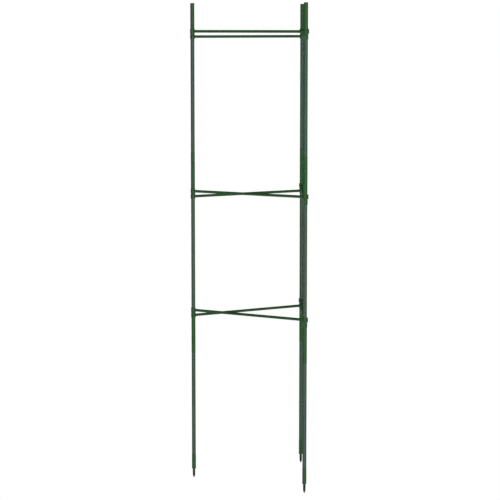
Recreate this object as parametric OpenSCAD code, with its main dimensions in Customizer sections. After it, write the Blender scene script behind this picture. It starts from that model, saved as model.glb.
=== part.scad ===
// Three-sided tomato cage: three plug-together stakes and nine clip-on arms.
// Millimetres, +Z up. The spike points stand on z = 0 and the cage's box is centred on the Z axis.

/* [Cage] */
// Distance between neighbouring stakes, centre to centre
stake_spacing = 309; // [200:1:500]

/* [Steel tubes] */
// Outside diameter of a coated steel tube
tube_d = 9.4; // [8:0.1:16]
// Thickness of the tube's wall with its coating
tube_wall = 0.8; // [0.5:0.1:1.5]
// Length of each stake's upper tube
upper_tube_len = 278.5; // [150:0.5:500]
// Length of each stake's middle tube
middle_tube_len = 278.5; // [150:0.5:500]
// Length of each stake's lower tube
lower_tube_len = 253.4; // [150:0.1:500]

/* [Plastic stake ends] */
// Outside diameter of the plastic pieces at the tube ends
end_d = 9.8; // [8:0.1:18]
// Length of a stub that is pushed into a tube
stub_len = 28; // [10:1:60]
// Radial play between a stub and the tube around it
stub_play = 0.05; // [0.02:0.01:0.2]
// Length of a socket piece that can be seen
socket_len = 78.4; // [50:0.1:150]
// Diameter of the hole in a socket piece
socket_bore_d = 6; // [4:0.1:7]
// Depth of the hole in a socket piece
socket_depth = 40; // [25:1:48]
// Length of a plug piece's collar
collar_len = 27.4; // [10:0.1:60]
// Length of the pin on a plug piece
plug_len = 36; // [15:1:40]
// Radial play between a plug's pin and its socket
plug_play = 0.05; // [0.02:0.01:0.2]
// Chamfer on the outer edges of the plastic ends
end_chamfer = 0.4; // [0.1:0.1:1]
// Chamfer on the leading end of stubs and pins
lead_chamfer = 0.8; // [0.2:0.1:1.5]

/* [Spiked feet] */
// Length of a foot's barrel
foot_len = 37; // [20:0.5:80]
// How far the foot's lower rim stands out from its barrel
rim_step = 0.3; // [0.1:0.1:1.5]
// Height of the foot's lower rim
rim_h = 2.4; // [1:0.1:6]
// Diameter of the spike
spike_d = 6.1; // [3:0.1:8]
// Length of the spike's straight part
spike_len = 16; // [8:0.5:60]
// Length of the spike's point
point_len = 6.6; // [3:0.1:30]
// Diameter of the blunt end of the point
blunt_d = 1.6; // [0.5:0.1:2.5]

/* [Arms] */
// Diameter of an arm's rod
rod_d = 6.5; // [4:0.1:8]
// How far the root beside a clip stands out from the rod
root_step = 0.35; // [0.1:0.05:1.5]
// Length of the taper from the root to the plain rod
root_len = 2.4; // [1:0.1:10]
// Height of a clip
clip_h = 11.5; // [9:0.5:30]
// Thickness of a clip's band
clip_wall = 0.6; // [0.5:0.1:3]
// Radial play between a clip and the stake in it
clip_play = 0.1; // [0.05:0.05:0.4]
// How far each jaw of a clip closes in front of the stake
jaw_bite = 0.6; // [0.2:0.1:1.2]
// How far the lip on a clip's far jaw reaches out past the bore
lip_reach = 1.35; // [0.8:0.05:5]
// Thickness of the lip where it leaves the band
lip_wall = 0.85; // [0.6:0.05:2]
// How much wider the mouth is at the lip's tip
lip_flare = 0.25; // [0.05:0.05:0.4]
// Chamfer on the outer edge of the lip's tip
lip_chamfer = 0.3; // [0.1:0.05:0.5]
// Space between two clips that are stacked on one stake
clip_space = 1.1; // [0.3:0.1:5]

/* [Tiers] */
// How far a clip's centre lies below the plastic end that it covers
tier_drop = 1.3; // [0:0.1:5]

/* [Hidden] */
$fn = 64;
stakes = ["left", "front", "back"];
tiers = ["low", "middle", "top"];
sides = ["front_arm", "side_arm", "rear_arm"];
turn = 120;
first_side_angle = -30;
cage_depth = stake_spacing * sqrt(3) / 2;
stake_at = [
    [-cage_depth / 2, 0],
    [cage_depth / 2, -stake_spacing / 2],
    [cage_depth / 2, stake_spacing / 2]
];

tube_r = tube_d / 2;
tube_bore_r = tube_r - tube_wall;
end_r = end_d / 2;
stub_r = tube_bore_r - stub_play;
socket_r = socket_bore_d / 2;
plug_r = socket_r - plug_play;
rim_r = end_r + rim_step;
spike_r = spike_d / 2;
blunt_r = blunt_d / 2;

// Heights up a stake, from the spike's point to the open top socket
spike_top_z = point_len + spike_len;
foot_top_z = spike_top_z + foot_len;
lower_tube_top_z = foot_top_z + lower_tube_len;
lower_seam_z = lower_tube_top_z + socket_len;
middle_tube_z = lower_seam_z + collar_len;
middle_tube_top_z = middle_tube_z + middle_tube_len;
upper_seam_z = middle_tube_top_z + socket_len;
upper_tube_z = upper_seam_z + collar_len;
upper_tube_top_z = upper_tube_z + upper_tube_len;

// Clips and arms
stake_r = max(tube_r, end_r);
clip_r = stake_r + clip_play;
band_r = clip_r + clip_wall;
mouth_half = stake_r - jaw_bite;
flare_half = mouth_half + lip_flare;
lip_x = mouth_half + lip_wall;
lip_y = clip_r + lip_reach;
flare_y = clip_r;
clip_pitch = clip_h + clip_space;
rod_r = rod_d / 2;
root_r = rod_r + root_step;
overlap = 0.5;

// Height of the lower clips' centres in each tier
tier_z = [
    middle_tube_z - tier_drop - clip_pitch,
    middle_tube_top_z - tier_drop,
    upper_tube_top_z - tier_drop
];

// A length of coated steel tube, open at both ends
module tube(len) {
    color([0.28, 0.36, 0.31])
    difference() {
        cylinder(r = tube_r, h = len);
        translate([0, 0, -overlap])
            cylinder(r = tube_bore_r, h = len + 2 * overlap);
    }
}

// A round bar with a chamfer at its upper end
module chamfered_bar(r, len, chamfer) {
    cylinder(r = r, h = len - chamfer);
    translate([0, 0, len - chamfer])
        cylinder(r1 = r, r2 = r - chamfer, h = chamfer);
}

// A barrel with a chamfer at both ends
module barrel(r, len, chamfer) {
    cylinder(r1 = r - chamfer, r2 = r, h = chamfer);
    translate([0, 0, chamfer])
        chamfered_bar(r, len - chamfer, chamfer);
}

// The stub that holds a plastic end in its tube, pointing up from z = 0
module stub() {
    translate([0, 0, -overlap])
        chamfered_bar(stub_r, stub_len + overlap, lead_chamfer);
}

// Socket piece: closes the top of a tube and takes the plug of the next section
module socket() {
    color([0.24, 0.36, 0.24])
    difference() {
        union() {
            barrel(end_r, socket_len, end_chamfer);
            mirror([0, 0, 1])
                stub();
        }
        translate([0, 0, socket_len - socket_depth])
            cylinder(r = socket_r, h = socket_depth + overlap);
        translate([0, 0, socket_len - end_chamfer])
            cylinder(r1 = socket_r, r2 = socket_r + end_chamfer, h = end_chamfer);
    }
}

// Plug piece: a collar under a tube, with a pin below that goes into a socket
module plug() {
    color([0.24, 0.36, 0.24]) {
        barrel(end_r, collar_len, end_chamfer);
        translate([0, 0, collar_len])
            stub();
        mirror([0, 0, 1])
            translate([0, 0, -overlap])
                chamfered_bar(plug_r, plug_len + overlap, lead_chamfer);
    }
}

// Foot: a barrel with a wider lower rim, and a blunt spike that goes into the soil
module foot_spike() {
    color([0.20, 0.30, 0.20]) {
        cylinder(r1 = blunt_r, r2 = spike_r, h = point_len);
        translate([0, 0, point_len])
            cylinder(r = spike_r, h = spike_len + overlap);
        translate([0, 0, spike_top_z])
            barrel(rim_r, rim_h, end_chamfer);
        translate([0, 0, spike_top_z])
            barrel(end_r, foot_len, end_chamfer);
        translate([0, 0, foot_top_z])
            stub();
    }
}

// Outline of the lip on the far jaw, away from the rod, before the mouth is cut beside it
module lip_outline() {
    polygon([
        [-lip_x, 0],
        [0, 0],
        [0, lip_y],
        [lip_chamfer - lip_x, lip_y],
        [-lip_x, lip_y - lip_chamfer]
    ]);
}

// Outline of a clip's mouth, which faces +Y and widens beside the lip
module mouth_outline() {
    polygon([
        [-mouth_half, 0],
        [mouth_half, 0],
        [mouth_half, flare_y],
        [flare_half, lip_y],
        [flare_half, lip_y + overlap],
        [-flare_half, lip_y + overlap],
        [-flare_half, lip_y],
        [-mouth_half, flare_y]
    ]);
}

// A clip before its bore and its mouth are cut, with the rod's side towards +X
module clip_body() {
    translate([0, 0, -clip_h / 2]) {
        cylinder(r = band_r, h = clip_h);
        linear_extrude(clip_h)
            lip_outline();
    }
}

// The bore and the mouth of a clip
module clip_bore() {
    translate([0, 0, -clip_h]) {
        cylinder(r = clip_r, h = 2 * clip_h);
        linear_extrude(2 * clip_h)
            mouth_outline();
    }
}

// The rod with a slightly thicker root at both ends, along +Z
module rod(len) {
    rotate_extrude()
        polygon([
            [0, 0],
            [root_r, 0],
            [root_r, band_r],
            [rod_r, band_r + root_len],
            [rod_r, len - band_r - root_len],
            [root_r, len - band_r],
            [root_r, len],
            [0, len]
        ]);
}

// Arm along +X between two stakes. Its second clip sits higher by rise.
module arm(rise) {
    slope = atan2(rise, stake_spacing);
    rod_len = sqrt(stake_spacing * stake_spacing + rise * rise);
    color([0.19, 0.30, 0.19])
    difference() {
        union() {
            clip_body();
            translate([stake_spacing, 0, rise])
                mirror([1, 0, 0])
                    clip_body();
            rotate([0, 90 - slope, 0])
                rod(rod_len);
        }
        clip_bore();
        translate([stake_spacing, 0, rise])
            clip_bore();
    }
}

// Moves a piece to a stake's axis, at a height
module on_stake(i, z) {
    translate([stake_at[i].x, stake_at[i].y, z])
        children();
}

// Moves an arm to the side that starts at a stake, at a height
module on_side(i, z) {
    on_stake(i, z)
        rotate([0, 0, first_side_angle + turn * i])
            children();
}

for (i = [0:len(stakes) - 1]) {
    s = stakes[i];
    on_stake(i, 0) foot_spike();
    on_stake(i, foot_top_z) tube(lower_tube_len);
    on_stake(i, lower_tube_top_z) socket();
    on_stake(i, lower_seam_z) plug();
    on_stake(i, middle_tube_z) tube(middle_tube_len);
    on_stake(i, middle_tube_top_z) socket();
    on_stake(i, upper_seam_z) plug();
    on_stake(i, upper_tube_z) tube(upper_tube_len);
    on_stake(i, upper_tube_top_z) socket();
}

for (t = [0:len(tiers) - 1]) {
    low = tier_z[t];
    high = low + clip_pitch;
    on_side(0, high) arm(0);
    on_side(1, low) arm(clip_pitch);
    on_side(2, low) arm(0);
}
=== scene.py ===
# %% [markdown]
# # A tomato cage, dressed in Blender
#
# The cage is three thin stakes in a triangle, tied together at three heights by arms that clip on.
# Each stake is three coated steel tubes with moulded plastic ends: a spiked foot, sockets and plugs.
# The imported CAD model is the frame. It gives every piece its place and its main lengths, so nothing is
# fitted by eye here. Sizes that a box does not show, such as a wall or a chamfer, are named values that
# repeat the CAD model's. Each piece is modelled again with the small roundings, seams and fillets that a
# moulded or drawn piece has, and the new piece stands in for its CAD node.

import math

import bmesh
import bpy
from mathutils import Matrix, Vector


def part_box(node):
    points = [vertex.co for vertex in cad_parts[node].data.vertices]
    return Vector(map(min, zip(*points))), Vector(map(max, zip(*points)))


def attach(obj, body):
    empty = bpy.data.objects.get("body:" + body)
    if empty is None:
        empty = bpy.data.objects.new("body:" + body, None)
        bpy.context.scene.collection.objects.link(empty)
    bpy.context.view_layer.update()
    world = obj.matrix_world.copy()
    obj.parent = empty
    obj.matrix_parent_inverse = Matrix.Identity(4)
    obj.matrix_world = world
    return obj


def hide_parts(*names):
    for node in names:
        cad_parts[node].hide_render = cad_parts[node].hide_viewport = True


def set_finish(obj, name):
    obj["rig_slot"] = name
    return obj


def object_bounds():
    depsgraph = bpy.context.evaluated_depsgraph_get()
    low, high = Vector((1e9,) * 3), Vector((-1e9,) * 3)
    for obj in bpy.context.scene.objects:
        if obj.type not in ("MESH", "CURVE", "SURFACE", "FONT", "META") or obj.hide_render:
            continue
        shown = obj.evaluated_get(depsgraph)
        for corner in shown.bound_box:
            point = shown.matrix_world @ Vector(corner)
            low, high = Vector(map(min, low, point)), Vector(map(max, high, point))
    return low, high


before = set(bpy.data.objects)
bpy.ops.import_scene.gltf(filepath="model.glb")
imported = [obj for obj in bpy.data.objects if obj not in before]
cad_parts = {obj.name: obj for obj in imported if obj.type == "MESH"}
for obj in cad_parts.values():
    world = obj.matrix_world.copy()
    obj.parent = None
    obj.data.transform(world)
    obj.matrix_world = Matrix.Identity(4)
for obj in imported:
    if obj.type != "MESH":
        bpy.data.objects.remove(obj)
cad_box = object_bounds()
MM = 0.001


def in_mm(lengths):
    """Lengths in millimetres, rounded to be printed."""
    return [round(length / MM, 1) for length in lengths]


print("CAD box in mm:", [in_mm(corner) for corner in cad_box])

# %% [markdown]
# ## Camera
#
# The photograph is taken from far away with a long lens, straight at the flat side between the left
# stake and the two stakes on the right. A shifted lens could keep the stakes exactly upright, but every
# other view would keep that shift and lose the top of the cage. A camera that is tipped down by a few
# degrees puts all the corners within about three pixels of the photograph, so the tip is used.

# %% Camera
CAMERA_AT = (0.00439, -4.4449, 1.1048)
CAMERA_TIP = math.radians(6.926)
CAMERA_LENS = 132.58
SENSOR_WIDTH = 36
VIEW_DEPTH = 200

bpy.ops.object.select_all(action="DESELECT")
bpy.ops.object.camera_add(location=CAMERA_AT, rotation=(math.pi / 2 - CAMERA_TIP, 0, 0))
camera = bpy.context.object
camera.name = "photo_camera"
camera.data.sensor_width = SENSOR_WIDTH
camera.data.lens = CAMERA_LENS
camera.data.clip_end = VIEW_DEPTH
bpy.context.scene.camera = camera
print("camera lens:", round(camera.data.lens, 2), "mm")

# %% [markdown]
# ## Measuring the stakes
#
# The three stakes are the same, so one stake's boxes give all the lengths. A box's middle is the
# stake's axis, and the heights of the tubes give the places of the plastic ends between them.

# %% Stake axes and heights
STAKES = ("left", "front", "back")
TUBES = ("lower", "middle", "upper")


def axis_of(node):
    """The middle of a node's box, seen from above."""
    low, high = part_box(node)
    return (low.x + high.x) / 2, (low.y + high.y) / 2


stake_axis = {stake: axis_of(f"{stake}_lower_tube") for stake in STAKES}
tube_box = {tube_name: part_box(f"left_{tube_name}_tube") for tube_name in TUBES}
tube_span = {tube_name: (low.z, high.z) for tube_name, (low, high) in tube_box.items()}
tube_low, tube_high = tube_box["upper"]
tube_r = (tube_high.x - tube_low.x) / 2
print("stake axes in mm:", {stake: in_mm(at) for stake, at in stake_axis.items()})
print("tube radius in mm:", round(tube_r / MM, 2))

# %% [markdown]
# ## Steel tubes
#
# A tube is a length of thin-walled steel pipe under a plastic coating. Its cut ends are slightly rolled
# in, so the rims are rounded. An open cylinder with a Solidify modifier would give a wall as well, but
# here a closed cylinder is added at the tube's size, its two end faces are inset by the wall, and
# bridging the two inner faces opens the bore from end to end. That keeps the outside at its true size.
# Two cuts near the ends keep the shading of the rims from running along the whole tube.

# %% Hand tools for selecting
def clear_selection():
    """Leaves edit mode and deselects every object."""
    if bpy.context.mode != "OBJECT":
        bpy.ops.object.mode_set(mode="OBJECT")
    bpy.ops.object.select_all(action="DESELECT")


def hold(piece):
    """Makes one piece the only selected object and the active one."""
    clear_selection()
    piece.select_set(True)
    bpy.context.view_layer.objects.active = piece


def start_edit(piece):
    """Opens a piece for editing, with nothing selected in it."""
    hold(piece)
    bpy.ops.object.mode_set(mode="EDIT")
    bpy.ops.mesh.select_mode(type="FACE")
    bpy.ops.mesh.select_all(action="DESELECT")


def pick_faces(piece, wanted):
    """Selects only the faces whose middle and normal pass the test, and returns their corners."""
    bpy.ops.mesh.select_mode(type="FACE")
    bpy.ops.mesh.select_all(action="DESELECT")
    mesh = bmesh.from_edit_mesh(piece.data)
    picked = [face for face in mesh.faces if wanted(face.calc_center_median(), face.normal)]
    for face in picked:
        face.select_set(True)
    corners = [corner.co.copy() for face in picked for corner in face.verts]
    bmesh.update_edit_mesh(piece.data)
    return corners


# %% Hand tools for finishing
ROUNDING_STEPS = 2


def finish_piece(piece, name, smooth_under=35):
    """Leaves edit mode, smooths the soft edges and names the piece."""
    hold(piece)
    bpy.ops.object.shade_smooth_by_angle(angle=math.radians(smooth_under))
    piece.name = piece.data.name = name
    print(name, "has", len(piece.data.polygons), "faces, box in mm:", in_mm(piece.dimensions))
    return piece


def round_edges(piece, width, sharper_than=30):
    """A bevel modifier on every edge that is sharper than the given angle, applied at once."""
    hold(piece)
    bevel = piece.modifiers.new("rounding", "BEVEL")
    bevel.width = width
    bevel.segments = ROUNDING_STEPS
    bevel.limit_method = "ANGLE"
    bevel.angle_limit = math.radians(sharper_than)
    bpy.ops.object.modifier_apply(modifier=bevel.name)


# %% A bar to start from
ROUND_SIDES = 48


def start_bar(radius, bottom, top, sides=ROUND_SIDES):
    """A plain round bar that stands on the axis, open for editing."""
    clear_selection()
    bpy.ops.mesh.primitive_cylinder_add(
        vertices=sides, radius=radius, depth=top - bottom,
        location=(0, 0, (top + bottom) / 2), end_fill_type="NGON"
    )
    bar = bpy.context.object
    bpy.ops.object.transform_apply(location=True, rotation=True, scale=True)
    start_edit(bar)
    return bar


# %% Two lengths of tube
TUBE_WALL = 0.8 * MM
RIM_ROUNDING = 0.2 * MM
RIM_BAND = 2 * MM
# A face is an end face if more than this share of its normal is along Z
END_FACING = 0.9


def make_tube(name, length):
    """A tube that stands on the origin, open at both ends."""
    tube = start_bar(tube_r, 0, length)
    pick_faces(tube, lambda middle, normal: abs(normal.z) > END_FACING)
    bpy.ops.mesh.inset(thickness=TUBE_WALL)
    bpy.ops.mesh.bridge_edge_loops()
    for height in (RIM_BAND, length - RIM_BAND):
        bpy.ops.mesh.select_all(action="SELECT")
        bpy.ops.mesh.bisect(plane_co=(0, 0, height), plane_no=(0, 0, 1))
    bpy.ops.mesh.select_all(action="SELECT")
    bpy.ops.mesh.normals_make_consistent(inside=False)
    round_edges(tube, RIM_ROUNDING)
    return finish_piece(tube, name)


def length_of(tube_name):
    """The length of one of a stake's three tubes."""
    bottom, top = tube_span[tube_name]
    return top - bottom


lower_tube = make_tube("lower_tube_model", length_of("lower"))
long_tube = make_tube("long_tube_model", length_of("upper"))

# %% [markdown]
# ## Plastic stake ends
#
# Sockets, plugs and feet are moulded round pieces. Such a piece can be spun from a drawn profile, but
# extruding an end face from station to station, and scaling it each time, is closer to how a hand would
# do it and needs no drawing: the piece grows like a turned part. A bevel rounds the edges afterwards.
# A mould leaves a fine parting line down two opposite sides, which is two narrow faces inset and raised
# by a twentieth of a millimetre, less than the play of the clips that slide over it.

# %% Turning by extrusion
PARTING_INSET = 0.2 * MM
PARTING_HEIGHT = 0.05 * MM
TOUCHING = 0.001 * MM
# Shares from which a normal counts as the same way, and a face as part of the outside
SAME_WAY = 0.999
NEAR_SKIN = 0.9


def draw_out(piece, upwards, stations):
    """Extrudes the highest or lowest end face through stations of radius and height."""
    way = 1 if upwards else -1
    mesh = bmesh.from_edit_mesh(piece.data)
    end = max(face.calc_center_median().z * way
              for face in mesh.faces if face.normal.z * way > END_FACING)
    rim = pick_faces(piece, lambda middle, normal: normal.z * way > END_FACING
                     and middle.z * way > end - TOUCHING)
    radius, height = max(math.hypot(c.x, c.y) for c in rim), end * way
    for next_radius, next_height in stations:
        bpy.ops.mesh.extrude_region_move(
            TRANSFORM_OT_translate={"value": (0, 0, next_height - height)}
        )
        change = next_radius / radius
        bpy.ops.transform.resize(value=(change, change, 1), center_override=(0, 0, next_height))
        radius, height = next_radius, next_height


def raise_parting_line(piece, bottom, top, radius, towards=0.0, sides=ROUND_SIDES):
    """Raises a fine rib on the two faces that look towards an angle and away from it."""
    aim = towards + math.pi / sides
    for turn in (0, math.pi):
        x, y = math.cos(aim + turn), math.sin(aim + turn)
        pick_faces(piece, lambda middle, normal: normal.x * x + normal.y * y > SAME_WAY
                   and bottom < middle.z < top and math.hypot(middle.x, middle.y) > NEAR_SKIN * radius)
        bpy.ops.mesh.inset(thickness=PARTING_INSET, depth=PARTING_HEIGHT)


# %% Stations that the ends share
END_R = 4.9 * MM
END_CHAMFER = 0.4 * MM
EDGE_BAND = 1.6 * MM
EDGE_ROUNDING = 0.12 * MM
STUB_R = 3.85 * MM
STUB_LENGTH = 28 * MM
LEAD_CHAMFER = 0.8 * MM
START_LENGTH = 1 * MM
BARREL_BOTTOM = ((END_R - END_CHAMFER, 0), (END_R, END_CHAMFER), (END_R, EDGE_BAND))


def barrel_top(top):
    """Stations of a barrel's upper end, with a cut that holds the shading and a chamfer."""
    return (END_R, top - EDGE_BAND), (END_R, top - END_CHAMFER), (END_R - END_CHAMFER, top)


def stub_on(top):
    """Stations of the stub on a barrel, which fills the end of the tube above."""
    tip = top + STUB_LENGTH
    return (STUB_R, top), (STUB_R, tip - LEAD_CHAMFER), (STUB_R - LEAD_CHAMFER, tip)


print("thickness of the ends and of their stubs in mm:", in_mm((2 * END_R, 2 * STUB_R)))

# %% [markdown]
# ### Sockets
#
# A socket closes the top of a tube: a stub goes down into the tube, and a hole from the top takes the
# pin of the next section. The hole could be cut with a Boolean, but drawing the end face up, in, and
# then down again makes the barrel and the hole in one go, with clean edges to round.

# %% Socket
SOCKET_BORE_R = 3.0 * MM
SOCKET_DEPTH = 40 * MM

socket_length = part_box("left_upper_socket")[1].z - tube_span["upper"][1]
socket_model = start_bar(STUB_R, LEAD_CHAMFER - STUB_LENGTH, -START_LENGTH)
draw_out(socket_model, False, [(STUB_R - LEAD_CHAMFER, -STUB_LENGTH)])
draw_out(socket_model, True, [
    (STUB_R, 0),
    *BARREL_BOTTOM,
    *barrel_top(socket_length),
    (SOCKET_BORE_R + END_CHAMFER, socket_length),
    (SOCKET_BORE_R, socket_length - END_CHAMFER),
    (SOCKET_BORE_R, socket_length - EDGE_BAND),
    (SOCKET_BORE_R, socket_length - SOCKET_DEPTH),
])
raise_parting_line(socket_model, EDGE_BAND, socket_length - EDGE_BAND, END_R)
round_edges(socket_model, EDGE_ROUNDING)
finish_piece(socket_model, "socket_model")

# %% [markdown]
# ### Plugs
#
# A plug is the collar under a tube. Its stub goes up into the tube above it, and its pin goes down into
# the socket below it, so the seam between two sections is a fine groove between two chamfers. It is
# drawn out of its pin, in the same way as the socket.

# %% Plug
PIN_R = 2.95 * MM
PIN_LENGTH = 36 * MM

collar_length = tube_span["middle"][0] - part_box("left_lower_socket")[1].z
plug_model = start_bar(PIN_R, LEAD_CHAMFER - PIN_LENGTH, -START_LENGTH)
draw_out(plug_model, False, [(PIN_R - LEAD_CHAMFER, -PIN_LENGTH)])
draw_out(plug_model, True, [
    (PIN_R, 0),
    *BARREL_BOTTOM,
    *barrel_top(collar_length),
    *stub_on(collar_length),
])
raise_parting_line(plug_model, EDGE_BAND, collar_length - EDGE_BAND, END_R)
round_edges(plug_model, EDGE_ROUNDING)
finish_piece(plug_model, "plug_model")

# %% [markdown]
# ### Spiked feet
#
# A foot is a barrel with a slightly wider rim at its lower end, and a thin blunt spike that goes into
# the soil. Cylinders and a cone could be joined, but they would leave faces inside, so the whole foot is
# drawn out of one bar, the spike's straight part. Its lower face is drawn down to the blunt tip, and its
# upper face up through the rim and the barrel to the stub in the lower tube.

# %% Foot with spike
SPIKE_R = 3.05 * MM
POINT_LENGTH = 6.6 * MM
BLUNT_R = 0.8 * MM
SPIKE_TOP = 22.6 * MM
RIM_R = 5.2 * MM
RIM_HEIGHT = 2.4 * MM

foot_top = tube_span["lower"][0]
rim_top = SPIKE_TOP + RIM_HEIGHT
foot_model = start_bar(SPIKE_R, POINT_LENGTH + START_LENGTH, SPIKE_TOP - START_LENGTH)
draw_out(foot_model, False, [(SPIKE_R, POINT_LENGTH), (BLUNT_R, 0)])
draw_out(foot_model, True, [
    (SPIKE_R, SPIKE_TOP),
    (RIM_R - END_CHAMFER, SPIKE_TOP),
    (RIM_R, SPIKE_TOP + END_CHAMFER),
    (RIM_R, rim_top - END_CHAMFER),
    (END_R, rim_top - END_CHAMFER + RIM_R - END_R),
    (END_R, rim_top + EDGE_BAND),
    *barrel_top(foot_top),
    *stub_on(foot_top),
])
raise_parting_line(foot_model, rim_top + EDGE_BAND, foot_top - EDGE_BAND, END_R)
round_edges(foot_model, EDGE_ROUNDING)
finish_piece(foot_model, "foot_model")

# %% [markdown]
# ## Arms
#
# An arm is one moulding: a thin rod with a snap clip at each end. A clip is an open band that grips the
# stake. The jaw on the rod's side is short, and the far jaw has a lip that guides the stake into the
# mouth. The band could be cut from a ring, but spinning the section of its wall round the stake's axis
# leaves the mouth open at once, and its two end faces are then extruded into the jaws.

# %% Clip
CLIP_R = 5.0 * MM
CLIP_WALL = 0.6 * MM
CLIP_HEIGHT = 11.5 * MM
CLIP_ROUNDING = 0.13 * MM
JAW_ANGLE = math.radians(29)
BAND_STEPS = 38
MOUTH_HALF = 4.3 * MM
# The band's two ends are the faces with more than this share of their normal along Y
MOUTH_FACING = 0.7
# A jaw's stations: how far it reaches, its inner face, its outer face, and the change of its height
FAR_JAW = (
    (4.9 * MM, MOUTH_HALF, 5.15 * MM, 1.0),
    (6.05 * MM, 4.5 * MM, 5.15 * MM, 0.96),
    (6.35 * MM, 4.55 * MM, 4.85 * MM, 0.92),
)
NEAR_JAW = (
    (3.0 * MM, MOUTH_HALF, 4.8 * MM, 1.0),
    (3.3 * MM, 4.36 * MM, 4.62 * MM, 0.97),
)


def grow_jaw(clip, side, stations):
    """Extrudes the band's end on one side through a jaw's stations."""
    corners = pick_faces(clip, lambda middle, normal: normal.y > MOUTH_FACING
                         and middle.y > 0 and middle.x * side > 0)
    reach = sum(c.y for c in corners) / len(corners)
    inner, outer = min(abs(c.x) for c in corners), max(abs(c.x) for c in corners)
    for next_reach, next_inner, next_outer, lower in stations:
        bpy.ops.mesh.extrude_region_move(
            TRANSFORM_OT_translate={"value": (0, next_reach - reach, 0)}
        )
        middle = side * (inner + outer) / 2
        wider = (next_outer - next_inner) / (outer - inner)
        bpy.ops.transform.resize(value=(wider, 0, lower), center_override=(middle, next_reach, 0))
        bpy.ops.transform.translate(value=(side * (next_inner + next_outer) / 2 - middle, 0, 0))
        reach, inner, outer = next_reach, next_inner, next_outer


def make_clip(x, z, far_side):
    """A clip on the stake at x, its middle at height z, with its far jaw at -X or +X."""
    clear_selection()
    bpy.ops.mesh.primitive_plane_add(
        size=1, location=(CLIP_R + CLIP_WALL / 2, 0, 0), rotation=(math.pi / 2, 0, 0)
    )
    clip = bpy.context.object
    clip.scale = (CLIP_WALL, CLIP_HEIGHT, 1)
    bpy.ops.object.transform_apply(location=True, rotation=True, scale=True)
    clip.rotation_euler.z = JAW_ANGLE
    bpy.ops.object.transform_apply(location=True, rotation=True, scale=True)
    start_edit(clip)
    bpy.ops.mesh.select_all(action="SELECT")
    bpy.ops.mesh.spin(
        steps=BAND_STEPS, angle=math.pi + 2 * JAW_ANGLE, center=(0, 0, 0), axis=(0, 0, 1)
    )
    bpy.ops.mesh.select_all(action="SELECT")
    bpy.ops.mesh.remove_doubles(threshold=TOUCHING)
    bpy.ops.mesh.normals_make_consistent(inside=False)
    grow_jaw(clip, far_side, FAR_JAW)
    grow_jaw(clip, -far_side, NEAR_JAW)
    round_edges(clip, CLIP_ROUNDING, sharper_than=40)
    clip.location = (x, 0, z)
    bpy.ops.object.transform_apply(location=True, rotation=True, scale=True)
    return clip


# %% [markdown]
# ### Rod and arm
#
# The rod keeps its thickness up to the clips and has only a small fillet where it meets each band. It is
# drawn out from its straight middle towards both ends, with a parting line along both sides, and laid
# down between the two stakes. Upright cutters leave its ends hollow, at the middle of the clips' walls,
# and keep the mouths free. A union then makes the rod and its two clips one piece. One arm of each tier
# rises by a little more than a clip's height, because it sits above one neighbour and below the other.

# %% Rod
ROD_R = 3.25 * MM
ROD_SIDES = 40
ROD_SPANS = 8
ROOT_START = 8.0 * MM
# The fillet's stations: distance from the stake's axis, and radius
ROOT_FILLET = ((7.2 * MM, 3.29 * MM), (6.5 * MM, 3.37 * MM), (5.95 * MM, 3.48 * MM),
               (5.5 * MM, 3.6 * MM), (2.0 * MM, 3.6 * MM))


def make_rod(span, rise):
    """A rod from the stake at the origin to the stake at the span, which may rise on the way."""
    length = math.hypot(span, rise)
    rod = start_bar(ROD_R, ROOT_START, length - ROOT_START, ROD_SIDES)
    draw_out(rod, False, [(radius, distance) for distance, radius in ROOT_FILLET])
    draw_out(rod, True, [(radius, length - distance) for distance, radius in ROOT_FILLET])
    for step in range(1, ROD_SPANS):
        height = ROOT_START + (length - 2 * ROOT_START) * step / ROD_SPANS
        bpy.ops.mesh.select_all(action="SELECT")
        bpy.ops.mesh.bisect(plane_co=(0, 0, height), plane_no=(0, 0, 1))
    raise_parting_line(rod, ROOT_START, length - ROOT_START, ROD_R, math.pi / 2, ROD_SIDES)
    hold(rod)
    rod.rotation_euler.y = math.pi / 2 - math.atan2(rise, span)
    bpy.ops.object.transform_apply(location=True, rotation=True, scale=True)
    return rod


# %% Two kinds of arm
CUTTER_SIDES = 72
SLIVER = 0.002 * MM


def join_by(piece, other, operation):
    """A Boolean modifier with another object, applied at once, which uses the other object up."""
    hold(piece)
    boolean = piece.modifiers.new("joining", "BOOLEAN")
    boolean.operation = operation
    boolean.solver = "EXACT"
    boolean.object = other
    bpy.ops.object.modifier_apply(modifier=boolean.name)
    bpy.data.objects.remove(other)


def make_arm(name, span, rise):
    """A rod with a clip on each end, in one piece."""
    arm = make_rod(span, rise)
    for x, z in ((0, 0), (span, rise)):
        clear_selection()
        bpy.ops.mesh.primitive_cylinder_add(
            vertices=CUTTER_SIDES, radius=CLIP_R + CLIP_WALL / 2, depth=2 * CLIP_HEIGHT,
            location=(x, 0, z)
        )
        join_by(arm, bpy.context.object, "DIFFERENCE")
        clear_selection()
        bpy.ops.mesh.primitive_cube_add(
            size=1, location=(x, CLIP_R, z), scale=(2 * MOUTH_HALF, 2 * CLIP_R, 2 * CLIP_HEIGHT)
        )
        join_by(arm, bpy.context.object, "DIFFERENCE")
    join_by(arm, make_clip(0, 0, far_side=-1), "UNION")
    join_by(arm, make_clip(span, rise, far_side=1), "UNION")
    start_edit(arm)
    bpy.ops.mesh.select_all(action="SELECT")
    bpy.ops.mesh.dissolve_degenerate(threshold=SLIVER)
    return finish_piece(arm, name)


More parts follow.
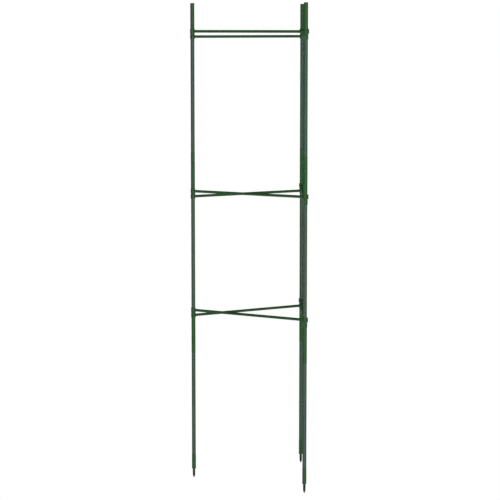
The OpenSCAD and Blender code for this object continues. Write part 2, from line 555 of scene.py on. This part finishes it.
stake_spacing = math.dist(stake_axis["front"], stake_axis["back"])
arm_low, arm_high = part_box("low_side_arm")
side_rise = arm_high.z - arm_low.z - CLIP_HEIGHT
print("arm span in mm:", round(stake_spacing / MM, 1), "side arm rises by:", round(side_rise / MM, 2))
level_arm = make_arm("level_arm_model", stake_spacing, 0)
rising_arm = make_arm("rising_arm_model", stake_spacing, side_rise)

# %% [markdown]
# ## Putting the cage together
#
# Each model is copied to its places. Linked copies could share one mesh, but here every copy has its
# own, with its place in it, so that no pattern repeats. The stake pieces are turned a different way each
# time, as they come out of the box, so the parting lines do not line up. The copies ride on the bodies
# of the CAD model: the stakes stand still, and each arm moves with its own joint.

# %% Copies of the stake pieces
TURN_STEP = math.radians(137.5)


def put(model, node, at, turn, body, slot):
    """Copies a model to its place, and lets it stand in for a CAD node."""
    hold(model)
    bpy.ops.object.duplicate(linked=False)
    piece = bpy.context.object
    piece.location = at
    piece.rotation_euler.z = turn
    bpy.ops.object.transform_apply(location=True, rotation=True, scale=True)
    piece.name = piece.data.name = node + "_dressed"
    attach(piece, body)
    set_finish(piece, slot)
    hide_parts(node)
    return piece


tube_models = {"lower": lower_tube, "middle": long_tube, "upper": long_tube}
stake_pieces = [("foot_spike", foot_model, 0.0, "stake_plastic")]
for tube_name in TUBES:
    bottom, top = tube_span[tube_name]
    stake_pieces.append((tube_name + "_tube", tube_models[tube_name], bottom, "tube_coating"))
    stake_pieces.append((tube_name + "_socket", socket_model, top, "stake_plastic"))
    if tube_name != "lower":
        stake_pieces.append((tube_name + "_plug", plug_model, bottom - collar_length, "stake_plastic"))

dressed = []
for stake in STAKES:
    x, y = stake_axis[stake]
    for kind, model, z, slot in stake_pieces:
        turn = TURN_STEP * len(dressed)
        dressed.append(put(model, f"{stake}_{kind}", (x, y, z), turn, "stakes", slot))
print("stake pieces:", len(dressed))

# %% Copies of the arms
TIERS = ("low", "middle", "top")
ARM_SIDES = (
    ("front_arm", "left", level_arm),
    ("side_arm", "front", rising_arm),
    ("rear_arm", "back", level_arm),
)
FIRST_SIDE_TURN = math.radians(-30)
SIDE_TURN = math.radians(120)


def height_of(node):
    """The height of the middle of a node's box."""
    low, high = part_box(node)
    return (low.z + high.z) / 2


for tier in TIERS:
    for count, (kind, first_stake, model) in enumerate(ARM_SIDES):
        node = f"{tier}_{kind}"
        x, y = stake_axis[first_stake]
        rise = side_rise if model is rising_arm else 0
        at = (x, y, height_of(node) - rise / 2)
        dressed.append(put(model, node, at, FIRST_SIDE_TURN + SIDE_TURN * count, node, "arm_plastic"))
for model in (lower_tube, long_tube, socket_model, plug_model, foot_model, level_arm, rising_arm):
    bpy.data.objects.remove(model)
print("pieces in all:", len(dressed))

# %% [markdown]
# ## Finishes
#
# The three finishes share a few effects, so each effect is a node group with its own inputs. They all
# read Object coordinates. A piece's place is in its mesh, so no two copies show the same spots.

# %% Tools for node trees
FLOAT = "NodeSocketFloat"
VECTOR = "NodeSocketVector"


def new_group(name, inputs, outputs):
    """An empty shader group with named sockets, and its input and output nodes."""
    group = bpy.data.node_groups.new(name, "ShaderNodeTree")
    for socket, kind in inputs:
        group.interface.new_socket(name=socket, in_out="INPUT", socket_type=kind)
    for socket, kind in outputs:
        group.interface.new_socket(name=socket, in_out="OUTPUT", socket_type=kind)
    return group, group.nodes.new("NodeGroupInput"), group.nodes.new("NodeGroupOutput")


def node_in(tree, kind, settings=(), **values):
    """A new node with its settings made, and its inputs set or linked by name or number."""
    node = tree.nodes.new(kind)
    for key, value in dict(settings).items():
        setattr(node, key, value)
    for key, value in values.items():
        name = key.replace("_", " ")
        socket = node.inputs[int(key[1:])] if key[1:].isdigit() else node.inputs[name]
        if isinstance(value, bpy.types.NodeSocket):
            tree.links.new(value, socket)
        else:
            socket.default_value = value
    return node


# %% Tools for values, patterns and colours
def math_in(tree, operation, first, second):
    """A sum, difference or product of two values."""
    node = node_in(tree, "ShaderNodeMath", {"operation": operation}, i0=first, i1=second)
    return node.outputs["Value"]


def ramp_in(tree, value, low, high, to_low=0.0, to_high=1.0):
    """A value that runs smoothly from one level to another between two limits."""
    node = node_in(tree, "ShaderNodeMapRange", {"clamp": True, "interpolation_type": "SMOOTHSTEP"},
                   Value=value, From_Min=low, From_Max=high, To_Min=to_low, To_Max=to_high)
    return node.outputs["Result"]


def stretched(tree, place, stretch):
    """Coordinates that are multiplied along X, Y and Z."""
    node = node_in(tree, "ShaderNodeVectorMath", {"operation": "MULTIPLY"}, i0=place, i1=stretch)
    return node.outputs["Vector"]


def noise_in(tree, place, scale=1.0, detail=2.0, roughness=0.5):
    """A cloudy noise of so many waves per unit of the coordinates."""
    node = node_in(tree, "ShaderNodeTexNoise",
                   Vector=place, Scale=scale, Detail=detail, Roughness=roughness)
    return node.outputs["Fac"]


def blend_in(tree, amount, first, second):
    """One colour that gives way to another. In a Mix node, colours are inputs 6 and 7 and output 2."""
    node = node_in(tree, "ShaderNodeMix", {"data_type": "RGBA"}, i0=amount, i6=first, i7=second)
    return node.outputs[2]


# %% [markdown]
# ### Moulded grain
#
# The walls of a mould are spark-eroded, which leaves a fine, even, pebbled grain on the plastic. A cell
# pattern gives the pebbles and a noise breaks them up. A slow noise on top gives the drift in tone that
# coloured plastic shows, because the pigment flows with the melt.

# %% Group for the moulded grain
PEBBLE_SHARE = 0.6
BROKEN_SHARE = 0.5

grain_group, inside, out = new_group(
    "moulded_grain",
    [("Place", VECTOR), ("Grains per metre", FLOAT), ("Drifts per metre", FLOAT)],
    [("Height", FLOAT), ("Drift", FLOAT)],
)
place, grains = inside.outputs["Place"], inside.outputs["Grains per metre"]
pebbles = node_in(grain_group, "ShaderNodeTexVoronoi", {"feature": "SMOOTH_F1"},
                  Vector=place, Scale=grains).outputs["Distance"]
broken = noise_in(grain_group, place, grains, detail=3.0, roughness=0.6)
height = math_in(grain_group, "ADD", math_in(grain_group, "MULTIPLY", pebbles, PEBBLE_SHARE),
                 math_in(grain_group, "MULTIPLY", broken, BROKEN_SHARE))
grain_group.links.new(height, out.inputs["Height"])
drift = noise_in(grain_group, place, inside.outputs["Drifts per metre"], detail=4.0, roughness=0.55)
grain_group.links.new(drift, out.inputs["Drift"])
print("group:", grain_group.name)

# %% [markdown]
# ### Slide marks
#
# When the clips are pushed up and down, they polish faint upright lines into the stakes. A noise that is
# stretched along Z gives long thin lines, and a second, slower noise lets them come and go.

# %% Group for the slide marks
LINES_PER_METRE = (1500, 1500, 14)
PATCHES_PER_METRE = (60, 60, 18)

slide_group, inside, out = new_group(
    "slide_marks", [("Place", VECTOR), ("Amount", FLOAT)], [("Marks", FLOAT)]
)
place = inside.outputs["Place"]
lines = noise_in(slide_group, stretched(slide_group, place, LINES_PER_METRE))
patches = noise_in(slide_group, stretched(slide_group, place, PATCHES_PER_METRE), detail=1.0)
marks = math_in(slide_group, "MULTIPLY", ramp_in(slide_group, lines, low=0.58, high=0.72),
                ramp_in(slide_group, patches, low=0.42, high=0.66))
marks = math_in(slide_group, "MULTIPLY", marks, inside.outputs["Amount"])
slide_group.links.new(marks, out.inputs["Marks"])
print("group:", slide_group.name)

# %% [markdown]
# ### Rubbed edges and painted edge highlight
#
# The outer edges are painted paler: partly the wear of edges that hands and neighbours rub, and partly a
# painted highlight along the bevels. Pointiness finds the outer edges, and a noise breaks the line up,
# so that it never looks drawn.

# %% Group for the rubbed edges and painted edge highlight
EDGE_SPOTS_PER_METRE = 420.0

edge_group, inside, out = new_group(
    "rubbed_and_highlit_edges", [("Place", VECTOR), ("Amount", FLOAT)], [("Rubbed and highlit", FLOAT)]
)
shape = node_in(edge_group, "ShaderNodeNewGeometry")
# Paler convex edges: a painted highlight along the bevels, together with rubbing wear.
edge = ramp_in(edge_group, shape.outputs["Pointiness"], low=0.53, high=0.60)
edge_spots = noise_in(edge_group, inside.outputs["Place"], EDGE_SPOTS_PER_METRE, detail=3.0)
rubbed_and_highlit = math_in(edge_group, "MULTIPLY", edge, ramp_in(edge_group, edge_spots, low=0.35, high=0.62))
rubbed_and_highlit = math_in(edge_group, "MULTIPLY", rubbed_and_highlit, inside.outputs["Amount"])
edge_group.links.new(rubbed_and_highlit, out.inputs["Rubbed and highlit"])
print("group:", edge_group.name)

# %% [markdown]
# ### Tube coating
#
# The tubes have a satin grey-green plastic skin that is drawn over the steel, so it has fine upright
# draw lines and the soft ripple of orange peel. Both are bump on one satin surface, with a slow drift in
# tone, and the slide marks polish it a little.

# %% Tools for materials
SATIN_SPECULAR = 0.16


def new_material(name, specular):
    """A new material, with its node tree and its shader."""
    material = bpy.data.materials.new(name)
    material.use_nodes = True
    tree = material.node_tree
    shader = tree.nodes["Principled BSDF"]
    shader.inputs["Specular IOR Level"].default_value = specular
    return material, tree, shader


def place_in(tree):
    """Object coordinates, which stay on the piece when it moves."""
    return node_in(tree, "ShaderNodeTexCoord").outputs["Object"]


def use_group(tree, group, **values):
    """The outputs of a shared effect, with this material's own values."""
    return node_in(tree, "ShaderNodeGroup", {"node_tree": group}, **values).outputs


def part_of(tree, mask, share):
    """A mask at a part of its strength."""
    return math_in(tree, "MULTIPLY", mask, share)


def connect(tree, shader, colour, roughness, relief, relief_height, relief_strength):
    """Gives the shader its colour and roughness, and the relief as bump."""
    bump = node_in(tree, "ShaderNodeBump",
                   Height=relief, Distance=relief_height, Strength=relief_strength)
    tree.links.new(colour, shader.inputs["Base Color"])
    tree.links.new(roughness, shader.inputs["Roughness"])
    tree.links.new(bump.outputs["Normal"], shader.inputs["Normal"])


# %% Material of the tubes
COATING = (0.051, 0.101, 0.069, 1)
COATING_DARK = (0.044, 0.089, 0.061, 1)
COATING_PALE = (0.078, 0.137, 0.108, 1)
DRAW_LINES_PER_METRE = (2600, 2600, 30)
PEEL_SHARE = 0.7
DRAW_LINE_SHARE = 0.6
MARKS_PALER = 0.25
TUBE_MARKS_SMOOTHER = 0.10

coating, tree, shader = new_material("tube_coating_satin", SATIN_SPECULAR)
place = place_in(tree)
peel = use_group(tree, grain_group, Place=place, Grains_per_metre=900.0, Drifts_per_metre=16.0)
marks = use_group(tree, slide_group, Place=place, Amount=0.7)["Marks"]
draw_lines = noise_in(tree, stretched(tree, place, DRAW_LINES_PER_METRE))
rubbed_and_highlit = use_group(tree, edge_group, Place=place, Amount=0.6)["Rubbed and highlit"]
colour = blend_in(tree, ramp_in(tree, peel["Drift"], low=0.36, high=0.64), COATING_DARK, COATING)
colour = blend_in(tree, part_of(tree, marks, MARKS_PALER), colour, COATING_PALE)
# Paler outer edges: rubbing wear and a painted edge highlight.
colour = blend_in(tree, rubbed_and_highlit, colour, COATING_PALE)
roughness = ramp_in(tree, peel["Drift"], low=0.3, high=0.7, to_low=0.42, to_high=0.51)
roughness = math_in(tree, "SUBTRACT", roughness, part_of(tree, marks, TUBE_MARKS_SMOOTHER))
relief = math_in(tree, "ADD", part_of(tree, peel["Height"], PEEL_SHARE),
                 part_of(tree, draw_lines, DRAW_LINE_SHARE))
connect(tree, shader, colour, roughness, relief, relief_height=0.04 * MM, relief_strength=0.5)
print("material:", coating.name)

# %% [markdown]
# ### Plastic of the stake ends
#
# The ends are moulded in a purer green than the tubes, with the mould's pebbled grain. The spike is
# painted darker than the foot above it, a painted shade for a thin spike in shade, and it is also made
# smoother, so the colour and the gloss change at the height of the foot's rim.

# %% Material of the stake ends
END_GREEN = (0.029, 0.098, 0.028, 1)
END_GREEN_DARK = (0.025, 0.085, 0.024, 1)
END_GREEN_PALE = (0.056, 0.132, 0.054, 1)
# Painted shade: the much darker green that the spike takes below the foot's rim.
SPIKE_PAINTED_SHADE = (0.012, 0.032, 0.012, 1)
SPIKE_CHANGE = (SPIKE_TOP - 0.3 * MM, SPIKE_TOP + 0.1 * MM)
SPIKE_SMOOTHER = 0.1
END_MARKS_SMOOTHER = 0.12

stake_plastic, tree, shader = new_material("stake_plastic_moulded", SATIN_SPECULAR)
place = place_in(tree)
grain = use_group(tree, grain_group, Place=place, Grains_per_metre=2600.0, Drifts_per_metre=38.0)
marks = use_group(tree, slide_group, Place=place, Amount=0.8)["Marks"]
rubbed_and_highlit = use_group(tree, edge_group, Place=place, Amount=0.7)["Rubbed and highlit"]
height = node_in(tree, "ShaderNodeSeparateXYZ", Vector=place).outputs["Z"]
above_spike = ramp_in(tree, height, *SPIKE_CHANGE)
colour = blend_in(tree, ramp_in(tree, grain["Drift"], low=0.34, high=0.66), END_GREEN_DARK, END_GREEN)
# Painted shade: below the rim the spike takes the dark green.
colour = blend_in(tree, above_spike, SPIKE_PAINTED_SHADE, colour)
colour = blend_in(tree, part_of(tree, marks, MARKS_PALER), colour, END_GREEN_PALE)
# Paler outer edges: rubbing wear and a painted edge highlight.
colour = blend_in(tree, rubbed_and_highlit, colour, END_GREEN_PALE)
roughness = ramp_in(tree, grain["Drift"], low=0.3, high=0.7, to_low=0.46, to_high=0.56)
roughness = math_in(tree, "SUBTRACT", roughness, part_of(tree, marks, END_MARKS_SMOOTHER))
on_spike = math_in(tree, "SUBTRACT", 1.0, above_spike)
roughness = math_in(tree, "SUBTRACT", roughness, part_of(tree, on_spike, SPIKE_SMOOTHER))
connect(tree, shader, colour, roughness, grain["Height"], relief_height=0.03 * MM, relief_strength=0.55)
print("material:", stake_plastic.name)

# %% [markdown]
# ### Plastic of the arms
#
# The arms are moulded in almost the same green as the stake ends, a touch deeper. Their grain is a
# little coarser, and the clips' edges are rubbed smooth where they snap on and off.

# %% Material of the arms
ARM_GREEN = (0.028, 0.088, 0.029, 1)
ARM_GREEN_DARK = (0.024, 0.075, 0.025, 1)
ARM_GREEN_PALE = (0.050, 0.118, 0.050, 1)
RUBBED_SMOOTHER = 0.1

arm_plastic, tree, shader = new_material("arm_plastic_moulded", SATIN_SPECULAR)
place = place_in(tree)
grain = use_group(tree, grain_group, Place=place, Grains_per_metre=2200.0, Drifts_per_metre=30.0)
rubbed_and_highlit = use_group(tree, edge_group, Place=place, Amount=0.7)["Rubbed and highlit"]
colour = blend_in(tree, ramp_in(tree, grain["Drift"], low=0.34, high=0.66), ARM_GREEN_DARK, ARM_GREEN)
# Paler outer edges: rubbing wear and a painted edge highlight.
colour = blend_in(tree, rubbed_and_highlit, colour, ARM_GREEN_PALE)
roughness = ramp_in(tree, grain["Drift"], low=0.3, high=0.7, to_low=0.46, to_high=0.56)
roughness = math_in(tree, "SUBTRACT", roughness, part_of(tree, rubbed_and_highlit, RUBBED_SMOOTHER))
connect(tree, shader, colour, roughness, grain["Height"], relief_height=0.03 * MM, relief_strength=0.55)
print("material:", arm_plastic.name)

# %% Each piece gets the finish of its slot
finishes = {"tube_coating": coating, "stake_plastic": stake_plastic, "arm_plastic": arm_plastic}
for piece in dressed:
    piece.data.materials.clear()
    piece.data.materials.append(finishes[piece["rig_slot"]])

# %% [markdown]
# ## Floor and light
#
# The photograph shows the cage on plain white. A pale floor lies under the spikes and lights the pieces
# from below. The camera sees it as plain white, as bright as the background and no brighter: a floor
# that the lamps lift above white would eat into the edges of the thin rods and stakes in front of it.
# The light is soft and comes from the front, a little from the right. Two weaker lamps behind light the
# other sides. They make no highlights, because the photograph shows the edges of the tubes dark.

# %% Floor
FLOOR_SIZE = 60
FLOOR_GLOW = 0.12
FLOOR_WHITE = 1.0
PAPER = (0.9, 0.9, 0.9, 1)
PAPER_ROUGHNESS = 0.9
PAPER_SPECULAR = 0.1
WHITE = (1, 1, 1, 1)

clear_selection()
bpy.ops.mesh.primitive_plane_add(size=FLOOR_SIZE, location=(0, 0, 0))
floor = bpy.context.object
floor.name = "pale_floor"
paper, tree, shader = new_material("pale_paper", PAPER_SPECULAR)
shader.inputs["Base Color"].default_value = PAPER
shader.inputs["Roughness"].default_value = PAPER_ROUGHNESS
shader.inputs["Emission Color"].default_value = WHITE
shader.inputs["Emission Strength"].default_value = FLOOR_GLOW
rays = node_in(tree, "ShaderNodeLightPath")
plain_white = node_in(tree, "ShaderNodeEmission", Strength=FLOOR_WHITE)
seen = node_in(tree, "ShaderNodeMixShader", i0=rays.outputs["Is Camera Ray"],
               i1=shader.outputs["BSDF"], i2=plain_white.outputs["Emission"])
tree.links.new(seen.outputs["Shader"], tree.nodes["Material Output"].inputs["Surface"])
floor.data.materials.append(paper)
print("floor:", FLOOR_SIZE, "m")

# %% Light
ROOM_LIGHT = 0.08
ROOM_WHITE = 1.0
# Name, place and size in metres, watts, and whether the lamp makes highlights
LAMPS = (
    ("front_softbox", (0.5, -5.2, 0.7), (1.2, 1.4), 186, True),
    ("rear_left_softbox", (-2.9, 4.1, 1.3), (1.4, 2.6), 150, False),
    ("rear_right_softbox", (2.9, 4.1, 1.3), (1.4, 2.6), 150, False),
)

scene = bpy.context.scene
scene.view_settings.view_transform = "Standard"
scene.world = bpy.data.worlds.new("white_room")
scene.world.use_nodes = True
tree = scene.world.node_tree
rays = node_in(tree, "ShaderNodeLightPath")
backdrop = tree.nodes["Background"]
backdrop.inputs["Color"].default_value = WHITE
brightness = ramp_in(tree, rays.outputs["Is Camera Ray"], 0, 1, to_low=ROOM_LIGHT, to_high=ROOM_WHITE)
tree.links.new(brightness, backdrop.inputs["Strength"])
cage_middle = (cad_box[0] + cad_box[1]) / 2
for name, at, size, power, makes_highlights in LAMPS:
    bpy.ops.object.light_add(type="AREA", location=at)
    lamp = bpy.context.object
    lamp.name = name
    lamp.data.shape = "RECTANGLE"
    lamp.data.size, lamp.data.size_y = size
    lamp.data.energy = power
    lamp.visible_glossy = makes_highlights
    towards = cage_middle - lamp.location
    lamp.rotation_euler = towards.to_track_quat("-Z", "Y").to_euler()
print("lamps:", [row[0] for row in LAMPS])
